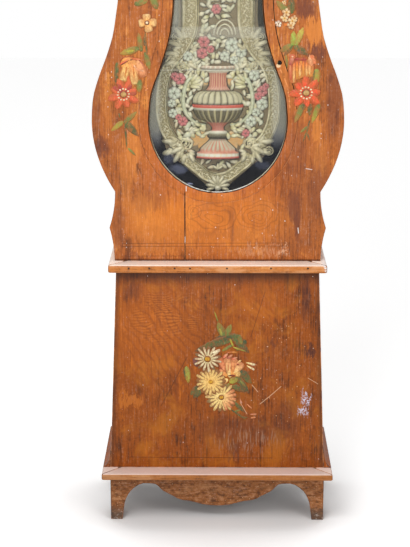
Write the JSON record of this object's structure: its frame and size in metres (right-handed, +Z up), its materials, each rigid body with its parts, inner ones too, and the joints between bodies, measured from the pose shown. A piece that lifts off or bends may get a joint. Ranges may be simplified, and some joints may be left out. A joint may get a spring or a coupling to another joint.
{
  "type": "comtoise clock",
  "caption": "Tall violin shaped painted clock case on bracket feet, with a glazed pear shaped door, a wide pressed brass pendulum, weight driven movement and a hood round the dial.",
  "frame": {"origin": "on the floor, under the middle of the clock's bounding box", "axes": "+Z up, the front with the dial and door faces -Y, +X to the right of someone who looks at the front"},
  "size_m": [0.5306, 0.288, 2.3],
  "materials": {
    "walnut": "painted faux grain under old varnish, with flowers",
    "dark_walnut": "worn varnished wood",
    "moulding": "worn varnished moulding",
    "deal": "bare softwood",
    "pane": "old clear glass",
    "iron": "blackened wrought iron",
    "brass": "aged brass",
    "pressed_brass": "pressed sheet brass, greenish patina with painted reds",
    "enamel": "white enamel with black numerals",
    "cast_iron": "rough casting",
    "cord": "twisted gut cord"
  },
  "bodies": {
    "case": {"plinth_front": "dark_walnut", "plinth_left": "dark_walnut", "plinth_right": "dark_walnut", "lower_moulding_front": "moulding", "lower_moulding_left": "moulding", "lower_moulding_right": "moulding", "base_cove_left": "walnut", "base_cove_right": "walnut", "base_front_panel": "walnut", "base_left_side": "walnut", "base_right_side": "walnut", "base_back": "deal", "waist_moulding_front": "moulding", "waist_moulding_left": "moulding", "waist_moulding_right": "moulding", "trunk_front_left": "walnut", "trunk_front_right": "walnut", "trunk_left_side": "walnut", "trunk_right_side": "walnut", "trunk_back": "deal", "seat_board": "deal", "door_hinge_lower_case_leaf": "iron", "door_hinge_upper_case_leaf": "iron", "movement_bottom_plate": "iron", "movement_top_plate": "iron", "movement_front_frame": "iron", "movement_back_frame": "iron", "bell": "brass", "dial_surround": "pressed_brass", "dial": "enamel", "going_cord": "cord", "strike_cord": "cord"},
    "waist_door": {"door_stile_left": "walnut", "door_stile_right": "walnut", "door_glass": "pane", "door_hinge_lower_door_leaf": "iron", "door_hinge_upper_door_leaf": "iron", "lock_case": "iron"},
    "lock_bolt": {"lock_bolt": "brass"},
    "hood": {"hood_base_moulding": "moulding", "hood_left_side": "walnut", "hood_right_side": "walnut", "hood_cornice": "moulding"},
    "hood_door": {"hood_door_frame": "walnut", "hood_door_glass": "pane", "hood_door_knob": "brass"},
    "pendulum": {"pendulum_rod": "iron", "pendulum_lower_plate": "pressed_brass", "pendulum_upper_plate": "pressed_brass"},
    "anchor": {"anchor": "iron"},
    "minute_hand": {"minute_hand": "brass"},
    "hour_hand": {"hour_hand": "brass"},
    "escape_wheel": {"escape_wheel": "brass"},
    "third_wheel": {"third_wheel": "brass"},
    "centre_wheel": {"centre_wheel": "brass"},
    "going_weight": {"going_weight": "cast_iron"},
    "going_barrel": {"going_barrel": "brass"},
    "strike_weight": {"strike_weight": "cast_iron"},
    "strike_barrel": {"strike_barrel": "brass"},
    "hammer": {"hammer": "iron"}
  },
  "joints": [
    {"name": "waist_door_hinge", "type": "hinge", "parent": "case", "child": "waist_door", "pos_m": [-0.11025, -0.0906, 1.5], "axis": [0, 0, -1], "range_deg": [0, 95]},
    {"name": "lock_bolt_slide", "type": "slide", "parent": "waist_door", "child": "lock_bolt", "axis": [0.9511, 0, 0.309], "range_m": [0, 0.01]},
    {"name": "hood_slide", "type": "slide", "parent": "case", "child": "hood", "axis": [0, -1, 0], "range_m": [0, 0.24]},
    {"name": "hood_door_hinge", "type": "hinge", "parent": "hood", "child": "hood_door", "pos_m": [-0.209, -0.102, 2.04], "axis": [0, 0, -1], "range_deg": [0, 105]},
    {"name": "pendulum_swing", "type": "hinge", "parent": "case", "child": "pendulum", "pos_m": [0, -0.014, 1.925], "axis": [0, 1, 0], "range_deg": [-2.5, 2.5]},
    {"name": "anchor_rock", "type": "hinge", "parent": "case", "child": "anchor", "pos_m": [0, 0.03, 1.895], "axis": [0, 1, 0], "range_deg": [-4, 4]},
    {"name": "minute_hand_turn", "type": "hinge", "parent": "case", "child": "minute_hand", "pos_m": [0, -0.07, 2.01], "axis": [0, 1, 0], "continuous": true},
    {"name": "hour_hand_turn", "type": "hinge", "parent": "case", "child": "hour_hand", "pos_m": [0, -0.07, 2.01], "axis": [0, 1, 0], "continuous": true},
    {"name": "escape_wheel_turn", "type": "hinge", "parent": "case", "child": "escape_wheel", "pos_m": [0, 0.03, 1.94], "axis": [0, 1, 0], "continuous": true},
    {"name": "third_wheel_turn", "type": "hinge", "parent": "case", "child": "third_wheel", "pos_m": [0.0267, 0.03, 1.97343], "axis": [0, 1, 0], "continuous": true},
    {"name": "centre_wheel_turn", "type": "hinge", "parent": "case", "child": "centre_wheel", "pos_m": [0, 0.03, 2.01], "axis": [0, 1, 0], "continuous": true},
    {"name": "going_weight_run", "type": "slide", "parent": "case", "child": "going_weight", "axis": [0, 0, 1], "range_m": [-1.05, 0.3], "deforming": ["going_cord"]},
    {"name": "going_barrel_turn", "type": "hinge", "parent": "case", "child": "going_barrel", "pos_m": [0.068, 0.07, 1.96], "axis": [0, 1, 0], "range_deg": [-560, 1930]},
    {"name": "strike_weight_run", "type": "slide", "parent": "case", "child": "strike_weight", "axis": [0, 0, 1], "range_m": [-1.05, 0.3], "deforming": ["strike_cord"]},
    {"name": "strike_barrel_turn", "type": "hinge", "parent": "case", "child": "strike_barrel", "pos_m": [-0.068, 0.07, 1.96], "axis": [0, 1, 0], "range_deg": [-1930, 560]},
    {"name": "hammer_swing", "type": "hinge", "parent": "case", "child": "hammer", "pos_m": [0.092, 0.105, 2.09], "axis": [0, 0, 1], "range_deg": [0, 25]}
  ],
  "couplings": [
    {"joint": "anchor_rock", "follows": "pendulum_swing", "ratio": 1.472},
    {"joint": "hour_hand_turn", "follows": "minute_hand_turn", "ratio": 0.083333},
    {"joint": "third_wheel_turn", "follows": "escape_wheel_turn", "ratio": -0.13333},
    {"joint": "centre_wheel_turn", "follows": "escape_wheel_turn", "ratio": 0.016667},
    {"joint": "going_barrel_turn", "follows": "going_weight_run", "rad_per_m": -31.746},
    {"joint": "strike_barrel_turn", "follows": "strike_weight_run", "rad_per_m": 31.746}
  ]
}
